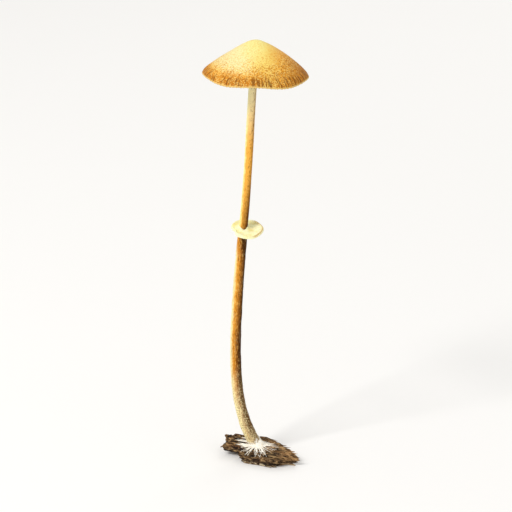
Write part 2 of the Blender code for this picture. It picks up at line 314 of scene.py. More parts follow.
# %% Sweeps
class Skin:
    """Points in millimetres and the faces between them, for one mesh."""

    def __init__(self):
        self.points = []
        self.faces = []

    def sweep(self, rings, tips=(None, None), looped=False):
        """Joins rings of equal length. Each end closes at a tip, or flat where that is None."""
        sides = len(rings[0])
        first = len(self.points)
        for ring in rings:
            self.points.extend(ring)
        rows = len(rings) if looped else len(rings) - 1
        total = sides * len(rings)
        for row in range(rows):
            for i in range(sides):
                j = (i + 1) % sides
                a, b = row * sides + i, row * sides + j
                c, d = (b + sides) % total, (a + sides) % total
                self.faces.append((first + a, first + b, first + c, first + d))
        if looped:
            return
        for tip, start in ((tips[0], first), (tips[1], first + total - sides)):
            if tip is None:
                self.faces.append(tuple(range(start, start + sides)))
                continue
            self.points.append(tip)
            last = len(self.points) - 1
            for i in range(sides):
                self.faces.append((start + i, start + (i + 1) % sides, last))


def piece(name, skin, look, nodes=()):
    """Makes the mesh, turns its faces outwards and lets it ride on the body."""
    mesh = bpy.data.meshes.new(name)
    mesh.from_pydata([[c * MM for c in p] for p in skin.points], [], skin.faces)
    shape = bmesh.new()
    shape.from_mesh(mesh)
    bmesh.ops.recalc_face_normals(shape, faces=shape.faces)
    shape.to_mesh(mesh)
    shape.free()
    mesh.shade_smooth()
    mesh.materials.append(look.material)
    made = put(name, mesh)
    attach(made, "root")
    if nodes:
        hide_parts(*nodes)
    spans = [[p[i] for p in skin.points] for i in range(3)]
    box = ", ".join(f"{min(span):.1f} to {max(span):.1f}" for span in spans)
    print(f"{name}: {len(mesh.polygons)} faces, {box} mm")


# %% [markdown]
# Two readings of the shapes' tables are needed all the time: a straight line between the
# entries, and a smooth curve through them. Noise on the mesh itself comes from the same
# kind of cloud as in a material, here worked out in Python at each point.


# %% Tables, curves and clouds
def level_at(table, x):
    """Straight-line reading of a table of (x, value)."""
    for (x0, v0), (x1, v1) in zip(table, table[1:]):
        if x <= x1:
            return v0 + (v1 - v0) * max(0.0, (x - x0) / (x1 - x0))
    return table[-1][1]


def smooth_through(points, steps):
    """A Catmull-Rom curve through the points, with this many steps for each stretch."""
    ends = [Vector(p) for p in points]
    ends = [2 * ends[0] - ends[1], *ends, 2 * ends[-1] - ends[-2]]
    curve = []
    for before, start, stop, after in zip(ends, ends[1:], ends[2:], ends[3:]):
        for i in range(steps):
            t = i / steps
            bend = before - 2.5 * start + 2 * stop - 0.5 * after
            twist = 1.5 * (start - stop) + 0.5 * (after - before)
            curve.append(start + 0.5 * t * (stop - before) + t * t * bend + t * t * t * twist)
    curve.append(ends[-2])
    return curve


def rough(x, y, z):
    """Noise between about -1 and 1, one swelling for each unit."""
    return noise.noise(Vector((x, y, z)))


def ease(x, low, high):
    """0 below low and 1 above high, smooth between."""
    t = min(1.0, max(0.0, (x - low) / (high - low)))
    return t * t * (3 - 2 * t)


bow = smooth_through([(0, 0), (1, 1), (2, 0)], 4)
print(f"a curve through 3 points, in 4 steps each, has {len(bow)} points")

# %% [markdown]
# ## Cap
#
# The cap is a cone with a rounded top and thin flesh, thinnest at the margin, where the
# gills below draw furrows in it. It could be a lathed profile with a displacement map,
# but the furrows end at different heights and the margin bends, so each point is worked
# out: its profile first, then the lean and droop of this cap, then its own furrows.

# %% Cap profile
CAP_RADIUS = 12.05
CAP_Z = 92.35
CAP_PROFILE = [
    (0.0, 8.0), (1.3, 7.75), (2.6, 7.15), (4.2, 6.25), (6.0, 5.1),
    (8.0, 3.75), (9.6, 2.55), (10.9, 1.5), (11.7, 0.7), (CAP_RADIUS, 0.0),
]
CAP_CURVE = [(p.x, p.y) for p in smooth_through(CAP_PROFILE, 6)]
FLESH_AT_TOP = 1.5
FLESH_AT_MARGIN = 0.34
CAP_LEAN = 0.13
CAP_DROOP = 0.5
CAP_SHIFT = 0.15
MARGIN_WAVE = 0.25


def cap_outer(r):
    return level_at(CAP_CURVE, r)


def cap_inner(r):
    """Underside of the flesh above the gills."""
    share = min(1.0, r / CAP_RADIUS)
    return cap_outer(r) - FLESH_AT_TOP * (1 - share) - FLESH_AT_MARGIN * share


def cap_form(x, y, z):
    """The lean, droop, bulge and wavy margin that this cap grew with."""
    share = math.hypot(x, y) / CAP_RADIUS
    angle = math.atan2(y, x)
    z += CAP_LEAN * math.cos(angle) * math.sin(math.pi * min(1.0, share))
    z -= (CAP_DROOP * math.cos(angle) + MARGIN_WAVE * math.sin(5 * angle)) * share**3
    return (x - CAP_SHIFT * (1 - share), y, CAP_Z + z)


print(f"cap: {2 * CAP_RADIUS} mm wide and {CAP_PROFILE[0][1]} mm high")

# %% [markdown]
# Each furrow is a short valley that runs up from the margin over a gap between two gills.
# No two have the same length or depth, and that is what makes a margin look grown. They
# are kept in a list, and a point looks only at the furrow that is nearest to it.

# %% Furrows of the margin
GILLS = 88
FURROW_WIDTH = 0.2
FURROW_DEPTHS = (0.05, 0.13)
FURROW_STARTS = (8.3, 10.9)
FURROW_FADE = 1.6
rng = random.Random(11)
furrows = []
for i in range(GILLS):
    angle = math.tau * (i + rng.uniform(-0.2, 0.2)) / GILLS
    furrows.append((angle, rng.uniform(*FURROW_DEPTHS), rng.uniform(*FURROW_STARTS)))


def furrow(r, angle):
    """Depth of the nearest furrow here."""
    i = round(angle / math.tau * GILLS)
    depth = 0.0
    for j in (i - 1, i, i + 1):
        middle, deep, start = furrows[j % GILLS]
        away = (angle - middle + math.pi) % math.tau - math.pi
        fade = ease(r, start, start + FURROW_FADE)
        depth = max(depth, deep * fade * math.exp(-((away * r / FURROW_WIDTH) ** 2)))
    return depth


print(f"{GILLS} furrows, {math.tau * CAP_RADIUS / GILLS:.2f} mm apart at the margin")

# %% Cap surface
CAP_SIDES = 704
CAP_RINGS = 64
CAP_CROWDING = 0.86
UNDER_RADII = (12.0, 11.8, 11.45, 10.7, 9.9, 8.6, 7.4, 6.0, 4.6, 3.4, 2.2, 1.3)
EDGE_RADIUS = 11.9
EDGE_DROP = 0.17


def cap_point(r, angle):
    x, y = r * math.cos(angle), r * math.sin(angle)
    swell = 0.035 * rough(0.45 * x, 0.45 * y, 3.0) + 0.014 * rough(1.9 * x, 1.9 * y, 7.0)
    fade = ease(r, 0.0, 1.5) * (1 - 0.7 * ease(r, 11.4, 12.0))
    return cap_form(x, y, cap_outer(r) + swell * fade - furrow(r, angle))


def round_ring(point, r, sides):
    return [point(r, math.tau * i / sides) for i in range(sides)]


def margin_point(r, angle):
    """The rounded edge and the underside, which follow the furrows ever less."""
    x, y = r * math.cos(angle), r * math.sin(angle)
    if r > EDGE_RADIUS:
        return cap_form(x, y, -EDGE_DROP - furrow(r, angle))
    return cap_form(x, y, cap_inner(r) - 0.6 * furrow(r, angle) * ease(r, 10.5, 12.0))


cap_skin = Skin()
radii = [CAP_RADIUS * (i / CAP_RINGS) ** CAP_CROWDING for i in range(1, CAP_RINGS + 1)]
cap_rings = [round_ring(cap_point, r, CAP_SIDES) for r in radii]
cap_rings += [round_ring(margin_point, r, CAP_SIDES) for r in UNDER_RADII]
under_middle = cap_form(0.0, 0.0, cap_inner(UNDER_RADII[-1]))
cap_skin.sweep(cap_rings, (cap_point(0.0, 0.0), under_middle))
print(f"cap: {len(cap_skin.points)} points")

# %% [markdown]
# ### Skin of the cap
#
# The skin is a pale cream yellow where it has dried first, at the top, and honey to brown
# where it is still moist, towards the margin. Over this lies painted light: a paler cream
# painted highlight on the left, and painted shade in yellow, honey and brown on the right,
# the side that hangs lower. Over it lies a fine dark grain that gets denser on the way
# down, and each furrow is darker than its ridges. The last fraction of a millimetre, where
# the flesh is thinnest, is pale.

# %% Cap material
CAP_PALE = paint(240, 230, 176)
CAP_FLECK = paint(250, 214, 122)
CAP_CREAM = paint(242, 233, 148)
CAP_YELLOW = paint(246, 217, 110)
CAP_HONEY = paint(235, 158, 46)
CAP_BROWN = paint(168, 98, 24)
CAP_DARK = paint(112, 62, 12)
CAP_EDGE = paint(238, 204, 126)

cap_look = Look("cap_skin_look", Roughness=0.5, Specular_IOR_Level=0.06)
spot = place(cap_look)
x, y, _ = axes(spot)
share = (x * x + y * y) ** 0.5 / CAP_RADIUS
drift = cloud(spot, scale=0.22, detail=3.0) - 0.5
# Side from the lit left to the shaded right; it carries the painted light of the cap.
shaded_side = x / CAP_RADIUS + 0.35 * drift
down_slope = share + 0.06 * shaded_side + 0.3 * drift
# A painted highlight: pale cream on the upper left.
painted_highlight = step(shaded_side, 0.1, -0.4) * step(share, 0.92, 0.6)
left_tip = step(shaded_side, -0.78, -1.0)
coats = [
    (step(down_slope, 0.34, 0.76), CAP_YELLOW),
    (step(down_slope, 0.62, 0.9), CAP_HONEY),
    (step(down_slope, 0.74, 1.02) * 0.75, CAP_BROWN),
    (painted_highlight * 0.75, CAP_PALE),
    # Painted shade: yellow, honey and brown growing towards the right.
    (step(shaded_side, 0.0, 0.3) * 0.75, CAP_YELLOW),
    (step(shaded_side, 0.12, 0.55) * 0.8, CAP_HONEY),
    (step(shaded_side, 0.45, 0.95) * 0.9, CAP_BROWN),
    (left_tip * 0.6, CAP_BROWN),
]
cap_tone = layered(CAP_CREAM, *coats)
print(f"cap: {len(coats)} coats of colour over the cream")

# %% Grain, furrow shade and edge
grain = cloud(spot, scale=2.7, detail=2.0, rough=0.7)
fine_grain = cloud(spot, scale=3.2, detail=1.0)
density = step(share + 0.12 * shaded_side + 0.4 * drift, 0.15, 0.9)
dots = step(grain + 0.1 * density, 0.56, 0.66) * (0.3 + 0.7 * density)
light_dots = step(fine_grain + 0.04 * density, 0.54, 0.64) * (0.2 + 0.8 * density)
inward = step(share, 0.86, 0.74)
# The light flecks turn paler with the painted highlight on the left, and thin out under the painted
# shade on the right.
fleck_tone = mix(step(shaded_side, 0.15, -0.25) * inward, CAP_FLECK, CAP_PALE)
fleck_share = (0.62 + 0.26 * inward) * (1 - 0.6 * step(shaded_side, 0.4, 0.9))
fleck_share = fleck_share * (1 - 0.7 * left_tip)
turn = x.sum("ARCTAN2", y, x)
radial = cap_look.node("ShaderNodeCombineXYZ", {}, {0: turn * 18.0, 1: share * 3.0, 2: 0.0})
stripes = cloud(radial, scale=1.6, detail=1.0)
near = step(share + 0.14 * (cloud(radial, scale=0.5) - 0.5), 0.82, 0.93)
cap_tone = layered(
    cap_tone,
    (dots * (0.7 + 0.28 * density), mix(density, CAP_HONEY, CAP_BROWN)),
    (light_dots * fleck_share, fleck_tone),
    (step(fine_grain, 0.5, 0.4) * 0.3, CAP_HONEY),
    (step(stripes, 0.52, 0.62) * near * 0.7, CAP_DARK),
    (step(share, 0.99, 0.998) * 0.8, CAP_EDGE),
)
cap_look.wear(
    Base_Color=cap_tone,
    Roughness=0.45 + 0.2 * dots + 0.1 * drift,
    Normal=bump(grain * 0.6 + fine_grain * 0.4, 0.05, 0.7),
)
piece("cap_dome", cap_skin, cap_look, ["cap"])

# %% [markdown]
# ## Gills
#
# Under the cap hang thin plates, some from the stem to the margin, some only half as long
# and the rest shorter still, so that they stay evenly close as the circle widens. Each
# is a blade about a fifth of a millimetre thick that thins towards its edge and bends a
# little on the way. It is swept outwards, one upright slice at a time.

# %% Gill blades
GILL_EDGE = [
    (1.35, 5.75), (1.9, 5.05), (2.6, 4.2), (3.4, 3.1), (5.0, 2.15),
    (7.0, 1.35), (9.0, 0.65), (10.2, 0.25), (10.9, 0.05), (11.6, -0.12),
]
GILL_STARTS = (1.35, 8.4, 5.2, 8.4)
GILL_END = 11.6
GILL_STEPS = 18
GILL_ROOT = 0.02
GILL_SLICE = [
    (1.0, 0.0), (1.0, 0.3), (0.85, 0.65), (0.5, 0.93), (0.0, 1.0),
    (-0.5, 0.93), (-0.85, 0.65), (-1.0, 0.3), (-1.0, 0.0),
]
GILL_HALF = 0.12


def gill_slice(r, angle, start, number):
    """One upright slice of a gill at this radius."""
    root = cap_inner(r) - GILL_ROOT
    rise = ease(r, start - 0.01, start + 0.9)
    edge = root - 0.1 - (root - 0.1 - level_at(GILL_EDGE, r)) * rise
    ring = []
    for side, depth in GILL_SLICE:
        z = root + (edge - root) * depth
        sway = 0.16 * rough(0.5 * r, 0.7 * z, 1.7 * number) * depth
        thick = GILL_HALF * (1 - 0.3 * depth) * side + sway + 0.05 * rough(0.3 * r, 9.0, number)
        x = r * math.cos(angle) - thick * math.sin(angle)
        y = r * math.sin(angle) + thick * math.cos(angle)
        ring.append(cap_form(x, y, z))
    return ring


gill_skin = Skin()
for i in range(GILLS):
    start = GILL_STARTS[i % 4]
    angle = math.tau * (i + 0.5) / GILLS
    stops = [start + (GILL_END - start) * j / GILL_STEPS for j in range(GILL_STEPS + 1)]
    gill_skin.sweep([gill_slice(r, angle, start, i) for r in stops])
print(f"gills: {GILLS} blades, {GILLS // 4} of them reach the stem")

# %% Layer of flesh above the gills
LAYER_RADII = (1.0, 2.0, 3.2, 4.6, 6.2, 8.0, 9.6, 10.8, 11.5)
LAYER_TOP = 0.01
LAYER_UNDER = 0.16
LAYER_SIDES = 176


def layer_point(below):
    """A point finder for the layer, this far below the flesh of the cap."""
    return lambda r, angle: cap_form(r * math.cos(angle), r * math.sin(angle), cap_inner(r) - below)


layer_rings = []
for below, radii in ((LAYER_TOP, LAYER_RADII), (LAYER_UNDER, reversed(LAYER_RADII))):
    layer_rings += [round_ring(layer_point(below), r, LAYER_SIDES) for r in radii]
gill_skin.sweep(layer_rings, looped=True)
print(f"layer: {LAYER_UNDER - LAYER_TOP:.2f} mm thick, out to {LAYER_RADII[-1]} mm")

# %% [markdown]
# ### Gill colour
#
# Ripe gills take the ochre brown of the spores that they shed. Their edges stay paler,
# and the oldest spots are darker. The height of a gill's edge at each radius is a known
# table, so a ramp over the radius gives the material the same edge to measure from. Only
# the last entry is left off, because it lies below zero and a ramp can't hold it.

# %% Gill material
GILL_OCHRE = paint(186, 128, 66)
GILL_DARK = paint(122, 74, 34)
GILL_PALE = paint(232, 196, 132)

gill_look = Look("gill_look", Roughness=0.75)
spot = place(gill_look)
x, y, z = axes(spot)
r = (x * x + y * y) ** 0.5
above_edge = z - CAP_Z - reading(r, GILL_EDGE[:-1], 12.0, 0.0, 6.0)
tone = cloud(spot, scale=0.5, detail=3.0)
veins = cloud(stretched(spot, (1, 1, 3)), scale=2.6, detail=2.0)
gill_tone = layered(
    GILL_OCHRE,
    (step(tone, 0.35, 0.7), GILL_DARK),
    (step(veins, 0.55, 0.7) * 0.5, GILL_DARK),
    (step(above_edge, 0.45, 0.05) * 0.8, GILL_PALE),
)
gill_look.wear(
    Base_Color=gill_tone, Roughness=0.65 + 0.2 * tone, Normal=bump(veins, 0.04, 0.6)
)
piece("gill_blades", gill_skin, gill_look, ["gills"])

# %% [markdown]
# ## Stem
#
# The stem is a tube of long fibres, drawn out as it grew: nearly smooth above the ring,
# streaked with silky fibrils below it and woolly at the foot. It follows a bowed line
# that meets the wood at a slant. A bevelled curve gives its form, but the fibrils run
# along it and fade in and out, so the tube is swept ring by ring with its own relief.

# %% Stem line
STEM_ROUTE = [
    (0.93, 1.3), (0.13, 2.8), (-1.42, 5.6), (-2.67, 9.0), (-3.77, 13.5), (-4.47, 20.0),
    (-4.62, 29.0), (-4.2, 38.0), (-3.6, 47.0), (-2.92, 55.0), (-2.29, 62.0),
    (-1.6, 72.0), (-1.07, 82.0), (-0.54, 91.0), (0.03, 98.6),
]
STEM_TOP = 98.6
FOOT_Y = -1.3
STEM_BOW = 1.2
STEM_RADII = [
    (0, 1.5), (6, 1.4), (14, 1.27), (35, 1.2), (53, 1.12),
    (57, 1.0), (70, 0.94), (94, 0.92), (99, 1.3),
]
STEM_STEPS = 28
STEM_SIDES = 72


def stem_middle(x, z):
    """A point of the stem's centre line, with the y that its bow gives it."""
    share = z / STEM_TOP
    return Vector((x, FOOT_Y * (1 - share) + STEM_BOW * math.sin(math.pi * share), z))


stem_line = [stem_middle(p.x, p.y) for p in smooth_through(STEM_ROUTE, STEM_STEPS)]
stem_heights = [(p.z, i) for i, p in enumerate(stem_line)]


def stem_index(z):
    """Which point of the centre line lies at this height."""
    return round(level_at(stem_heights, z))


def across(line, i):
    """Two directions square to a line at its point i."""
    way = (line[min(i + 1, len(line) - 1)] - line[max(i - 1, 0)]).normalized()
    side = way.cross(Vector((0, -1, 0))).normalized()
    return side, way.cross(side)


print(f"stem: {sum((b - a).length for a, b in zip(stem_line, stem_line[1:])):.1f} mm long")

# %% Stem surface
RING_Z = 55.9


def stem_radius(angle, z):
    """Radius of the stem here, with the height of its fibrils."""
    a, b = math.cos(angle), math.sin(angle)
    woolly = 1 - ease(z, 3.0, 16.0)
    below = 1 - ease(z, RING_Z - 6, RING_Z - 1)
    fine = rough(4.2 * a, 4.2 * b, 0.3 * z)
    wide = rough(1.6 * a + 5, 1.6 * b, 0.11 * z)
    tufts = max(0.0, rough(2.6 * a, 2.6 * b, 0.75 * z + 9) - 0.1)
    relief = (0.014 + 0.03 * below) * fine + 0.03 * wide + (0.07 * below + 0.12 * woolly) * tufts
    return level_at(STEM_RADII, z) + relief


stem_skin = Skin()
stem_rings = []
for i, middle in enumerate(stem_line):
    side, back = across(stem_line, i)
    ring = []
    for j in range(STEM_SIDES):
        angle = math.tau * j / STEM_SIDES
        out = math.cos(angle) * side + math.sin(angle) * back
        ring.append(middle + stem_radius(angle, middle.z) * out)
    stem_rings.append(ring)
stem_skin.sweep(stem_rings)
print(f"stem: {len(stem_skin.points)} points")

# %% [markdown]
# Loose fibrils lie on the lower stem like lint: slivers a few millimetres long that cling
# at one end and lift at the other. They break the stem's outline, which relief alone
# can't do. Each is a thin flattened strand that tapers to both ends.

# %% Loose fibrils
FIBRILS = 260
FIBRIL_STEPS = 7
rng = random.Random(23)


def fibril(start, angle, length, lean, lift, width):
    """One sliver on the stem, from its fixed lower end upwards."""
    rings = []
    for j in range(1, FIBRIL_STEPS):
        t = j / FIBRIL_STEPS
        z = start + length * t
        i = stem_index(z)
        side, back = across(stem_line, i)
        turned = angle + lean * t
        out = math.cos(turned) * side + math.sin(turned) * back
        along = -math.sin(turned) * side + math.cos(turned) * back
        half = width * math.sin(math.pi * t) ** 0.7
        middle = stem_line[i] + (stem_radius(turned, z) + 0.02 + lift * t * t) * out
        ring = [middle + half * along, middle + 0.5 * half * out]
        rings.append([*ring, middle - half * along, middle - 0.5 * half * out])
    return rings


fibril_skin = Skin()
for _ in range(FIBRILS):
    low = rng.random() ** 1.3
    start = 4.5 + (RING_Z - 9.5) * low
    length = rng.uniform(1.2, 3.4)
    rings = fibril(
        start, rng.uniform(0, math.tau), length, rng.uniform(-0.2, 0.2),
        rng.uniform(0.0, 0.12), rng.uniform(0.015, 0.035),
    )
    fibril_skin.sweep(rings)
print(f"{FIBRILS} fibrils")

# %% [markdown]
# ### Stem colour
#
# Above the ring the stem is straw to orange, darkest just above the ring, where spores
# from the gills have caught. Below it goes from tan to brown under silvery fibrils, and
# the foot is bleached and woolly. Over these tones light is painted: its left is pale with
# a painted highlight, its right dark with painted shade, and a band just under the ring is
# a painted shadow of the ring. So each tone is chosen by the place across the stem, which
# is measured from the bowed middle line, and the contrast dies away behind it.

# %% Stem tones
STEM_CREAM = paint(255, 250, 196)
STEM_PALE = paint(250, 236, 158)
STEM_ORANGE = paint(242, 176, 72)
STEM_TAN = paint(204, 132, 40)
STEM_BROWN = paint(136, 80, 20)
STEM_DEEP = paint(70, 40, 10)
STEM_UMBER = paint(104, 74, 40)
STEM_STRAW = paint(236, 198, 112)
STEM_FOOT = paint(208, 184, 138)
STEM_SILVER = paint(246, 232, 176)
STEM_HALF = 1.1


def stem_shade_side(spot):
    """From -1 at the stem's left, pale with a painted highlight, to 1 at its right, dark with
    painted shade, and near 0 behind it.
    """
    x, y, z = axes(spot)
    middle = reading(z, [(b, a) for a, b in STEM_ROUTE], 100.0, -6.0, 6.0)
    share = z / STEM_TOP
    swing = z.sum("SINE", share * math.pi)
    behind = step(y - FOOT_Y * (1 - share) - STEM_BOW * swing, 0.0, STEM_HALF)
    return (x - middle) / STEM_HALF * (1 - 0.75 * behind) + 0.15 * behind


print(f"the stem's middle is read from {len(STEM_ROUTE)} stops of a ramp")

# %% Stem material
stem_look = Look("stem_look", Roughness=0.6, Specular_IOR_Level=0.05)
spot = place(stem_look)
z = axes(spot)[2]
silk = cloud(stretched(spot, (1, 1, 0.12)), scale=3.6, detail=2.0, rough=0.6)
blotch = cloud(stretched(spot, (1, 1, 0.5)), scale=0.9, detail=3.0, rough=0.6)
specks = cloud(stretched(spot, (1, 1, 0.4)), scale=3.2, detail=3.0, rough=0.7)
side = stem_shade_side(spot) + 0.4 * (blotch - 0.5) + 0.8 * (specks - 0.5)
spored = step(z, 70.0, RING_Z)
# Above the ring the pale left edge is a painted highlight and the brown to deep right is painted
# shade; the brown just above the ring is spore colour, deepened there by that shade.
above = layered(
    STEM_PALE,
    (step(side, -0.88, -0.38), STEM_ORANGE),
    (step(z, 74.0, 90.0) * 0.85, STEM_CREAM),
    (step(side, 0.1, 0.8) * (0.5 + 0.5 * spored), STEM_BROWN),
    (step(side, -0.75, 0.1) * spored * 0.7, STEM_BROWN),
    (step(side, 0.2, 0.8) * spored * 0.85, STEM_DEEP),
)
# The side value is pushed darker low on the stem, and much darker in a band just under the ring,
# which is a painted shadow of the ring.
lower_shade_side = side + 0.3 * step(z, 38.0, 24.0) + 0.75 * step(z, 47.5, 53.0)
# Below the ring the silver and orange left is a painted highlight and the brown to deep right is
# painted shade.
below = layered(
    STEM_SILVER,
    (step(side, -1.0, -0.58), STEM_ORANGE),
    (step(lower_shade_side, -0.8, -0.1), STEM_TAN),
    (step(lower_shade_side, -0.1, 0.5) * 0.9, STEM_BROWN),
    (step(lower_shade_side, 0.4, 1.0), STEM_DEEP),
)
print("stem: pale on its left, orange to brown on its right")

# %% Woolly foot, specks and silk
foot = step(z + 6.0 * (blotch - 0.5), 23.0, 12.0)
felted = step(z + 3.0 * (blotch - 0.5), 8.5, 4.5)
# At the foot too, the umber on the right is painted shade.
foot_tone = layered(
    STEM_SILVER,
    (step(side, -0.85, -0.1), STEM_FOOT),
    (step(side, -0.1, 0.7), STEM_UMBER),
    (felted * 0.55, STEM_FOOT),
)
upper = step(z, RING_Z - 1.0, RING_Z + 1.0)
lower = 1 - upper
# The specks follow the painted light: dark ones gather away from the lit left, and light ones fade
# in the painted shade.
inner = step(side, -0.7, 0.0)
shaded = 1 - 0.65 * step(side, 0.1, 0.8)
dark_specks = step(specks, 0.52, 0.66) * (0.25 + 0.35 * lower) * (0.3 + 0.7 * inner)
top_specks = step(specks, 0.55, 0.61) * upper * step(side, -0.3, 0.5)
light_specks = step(specks, 0.47, 0.34) * (0.15 + 0.35 * lower) * shaded
crumbs = cloud(spot, scale=3.6, detail=2.0)
shine = step(silk, 0.6, 0.72) * (0.08 + 0.15 * lower + 0.3 * foot)
stem_tone = layered(
    below,
    (foot * 0.85, foot_tone),
    (upper, above),
    (dark_specks, STEM_DEEP),
    (top_specks * 0.7, STEM_BROWN),
    (light_specks, mix(foot, STEM_STRAW, STEM_SILVER)),
    (step(crumbs, 0.53, 0.6) * foot * 0.6, STEM_UMBER),
    (step(crumbs, 0.46, 0.39) * foot * 0.55, STEM_SILVER),
    (shine, STEM_SILVER),
)
stem_height = silk * 0.6 + specks * 0.4
stem_look.wear(
    Base_Color=stem_tone,
    Roughness=0.5 + 0.3 * stem_height,
    Normal=bump(stem_height, 0.06, 0.7),
)
piece("stem_tube", stem_skin, stem_look, ["stem"])

# %% Fibril material
fibril_look = Look("fibril_look", Roughness=0.5)
spot = place(fibril_look)
tone = cloud(spot, scale=0.8, detail=2.0)
# The fibrils take the stem's painted light: pale with a painted highlight on the left, brown with
# painted shade on the right.
side = stem_shade_side(spot) + 1.2 * (tone - 0.5)
fibril_tone = layered(
    STEM_SILVER,
    (step(side, -0.9, -0.4), STEM_STRAW),
    (step(side, -0.6, 0.0), STEM_TAN),
    (step(side, -0.1, 0.4), STEM_BROWN),
)
fibril_look.wear(Base_Color=fibril_tone, Roughness=0.4 + 0.2 * tone)
piece("stem_fibrils", fibril_skin, fibril_look)

# %% [markdown]
# ## Ring
#
# When the cap was a closed button, a skin ran from its margin to the stem. It tore loose
# as the cap opened, and hangs now as a tilted skirt: dished above, with a rolled rim and
# fine grooves that the gills pressed into it. It is swept round its own profile, and the
# profile swings out to one side, where the skirt is widest. Its front hangs lowest, and
# ends at a nick where the skin tore.

# %% Ring surface
RING_RADIUS = 3.6
RING_FLARE = 0.045
RING_OFFSET = 1.0
RING_TILT = math.radians(13)
RING_LEAN = math.radians(5)
RING_GROOVES = 56
RING_PROFILE = [
    (0.9, 0.2), (1.15, 0.16), (1.6, 0.06), (2.15, 0.0), (2.65, 0.12), (3.1, 0.3),
    (3.4, 0.3), (3.55, 0.1), (3.6, -0.06), (3.5, -0.2), (3.15, -0.2), (2.5, -0.42),
    (1.75, -0.78), (1.32, -1.15), (1.12, -1.4), (0.9, -1.3),
]
RING_SIDES = 288
# How far the rim hangs down, and how far it is torn back, at each direction in degrees.
RIM_DROP = [
    (-180, 0.0), (-150, 0.0), (-130, 0.42), (-70, 0.42), (-35, 0.12), (0, 0.0), (180, 0.0),
]
RIM_PULL = [
    (-180, 0.0), (-162, 0.08), (-149, 0.5), (-138, 0.12), (-126, -0.14), (-105, 0.0), (180, 0.0),
]

ring_middle = stem_line[stem_index(RING_Z)]
ring_place = Matrix.Translation(ring_middle)
ring_place = ring_place @ Matrix.Rotation(RING_LEAN, 4, "Y") @ Matrix.Rotation(RING_TILT, 4, "X")


def ring_point(r, z, angle):
    """A point of the ring's profile, swung round, grooved, fluttered and torn."""
    a, b = math.cos(angle), math.sin(angle)
    degrees = math.degrees(math.atan2(b, a))
    out = max(0.0, r - 1.2) / (RING_RADIUS - 1.2)
    lip = 1 - ease(r, 1.0, 1.7)
    z += 0.035 * out * math.cos(RING_GROOVES * angle + 2 * rough(2 * a, 2 * b, 0))
    z += 0.16 * out * out * rough(1.4 * a, 1.4 * b, 4.0) - out * out * level_at(RIM_DROP, degrees)
    z += 0.5 * lip * ease(z, -0.6, 0.0) * (1 - math.exp(-(((degrees + 75) / 40) ** 2)))
    r += 0.12 * out * rough(2.2 * a, 2.2 * b, 8.0) - out * out * level_at(RIM_PULL, degrees)
    r *= 1 + RING_FLARE * out
    return ring_place @ Vector((r * a + RING_OFFSET * out, r * b, z))


ring_skin = Skin()
ring_rings = []
for r, z in smooth_through(RING_PROFILE, 4):
    ring_rings.append([ring_point(r, z, math.tau * i / RING_SIDES) for i in range(RING_SIDES)])
ring_skin.sweep(ring_rings, looped=True)
print(f"ring: stands {ring_middle.z:.1f} mm up, tilted by {math.degrees(RING_TILT):.0f} degrees")

# %% [markdown]
# ### Ring colour
#
# The skirt is a soft cream, a little greener and more yellow in its hollows, where the
# olive green is a faint painted shade, with one yellow pool in front of the stem. Its rim
# has a thin ochre line, strongest on the wide side, and a few of the grooves there are
# ochre too.

# %% Ring material
RING_CREAM = paint(253, 249, 200)
RING_YELLOW = paint(238, 218, 130)
RING_OLIVE = paint(190, 172, 88)
RING_OCHRE = paint(196, 150, 76)
RIM_RADIUS = RING_RADIUS * (1 + RING_FLARE)

ring_look = Look(
    "ring_look", Roughness=0.6, Specular_IOR_Level=0.15, Subsurface_Weight=0.35,
    Subsurface_Scale=0.0008, Subsurface_Radius=(1.0, 0.9, 0.7),
)
spot = place(ring_look)
x, y, _ = axes(spot)
rim_x = x - (ring_middle.x + RING_OFFSET)
rim_y = (y - ring_middle.y) * 1.03
rim_share = (rim_x * rim_x + rim_y * rim_y) ** 0.5 / RIM_RADIUS
drift = cloud(spot, scale=0.7, detail=3.0)
fine = cloud(spot, scale=5.0, detail=2.0)
turn = x.sum("ARCTAN2", rim_y, rim_x)
radial = ring_look.node("ShaderNodeCombineXYZ", {}, {0: turn * 7.0, 1: rim_share, 2: 0.0})
stripes = cloud(radial, scale=2.0, detail=1.0)
wide_side = step(rim_x + 1.2 * (drift - 0.5), 0.2, 2.4)
# The olive in the dish near the stem is painted shade.
painted_hollow_shade = step(rim_share, 0.62, 0.3) * step(drift, 0.4, 0.6)
pool_x, pool_y = rim_x - 0.7, rim_y + 0.7
pool = step(pool_x * pool_x + 2.0 * pool_y * pool_y, 0.9, 0.1)
rim_line = step(rim_share, 0.87, 0.91) * step(rim_share, 0.97, 0.93)
strokes = step(stripes, 0.56, 0.66) * step(rim_share, 0.55, 0.85)
ring_tone = layered(
    RING_CREAM,
    (step(drift, 0.45, 0.75) * 0.5, RING_YELLOW),
    (painted_hollow_shade * 0.1, RING_OLIVE),
    (pool * 0.6, RING_YELLOW),
    (rim_line * wide_side * 0.75, RING_OCHRE),
    (strokes * wide_side * 0.45, RING_OCHRE),
)
ring_look.wear(
    Base_Color=ring_tone,
    Roughness=0.5 + 0.25 * fine,
    Normal=bump(fine * 0.5 + stripes * 0.5, 0.04, 0.5),
)
piece("ring_skirt", ring_skin, ring_look, ["ring"])

# %% [markdown]
# ## Wood
#
# Rotten wood comes apart along its grain, into strands that are thick where they still
# hold together and frayed where the piece tore off. One block with a texture would show
# none of that at its ends, so the scrap is a bundle: rows of strands, five deep, each as
# long as the wood is at that place, torn square at one end and drawn out to a splinter
# at the other. Their neighbours overlap, so that no light falls through. Three cracks
# have opened at the torn end. The prong in front of them sags, and overhangs the ground
# where its lowest strands have rotted away.

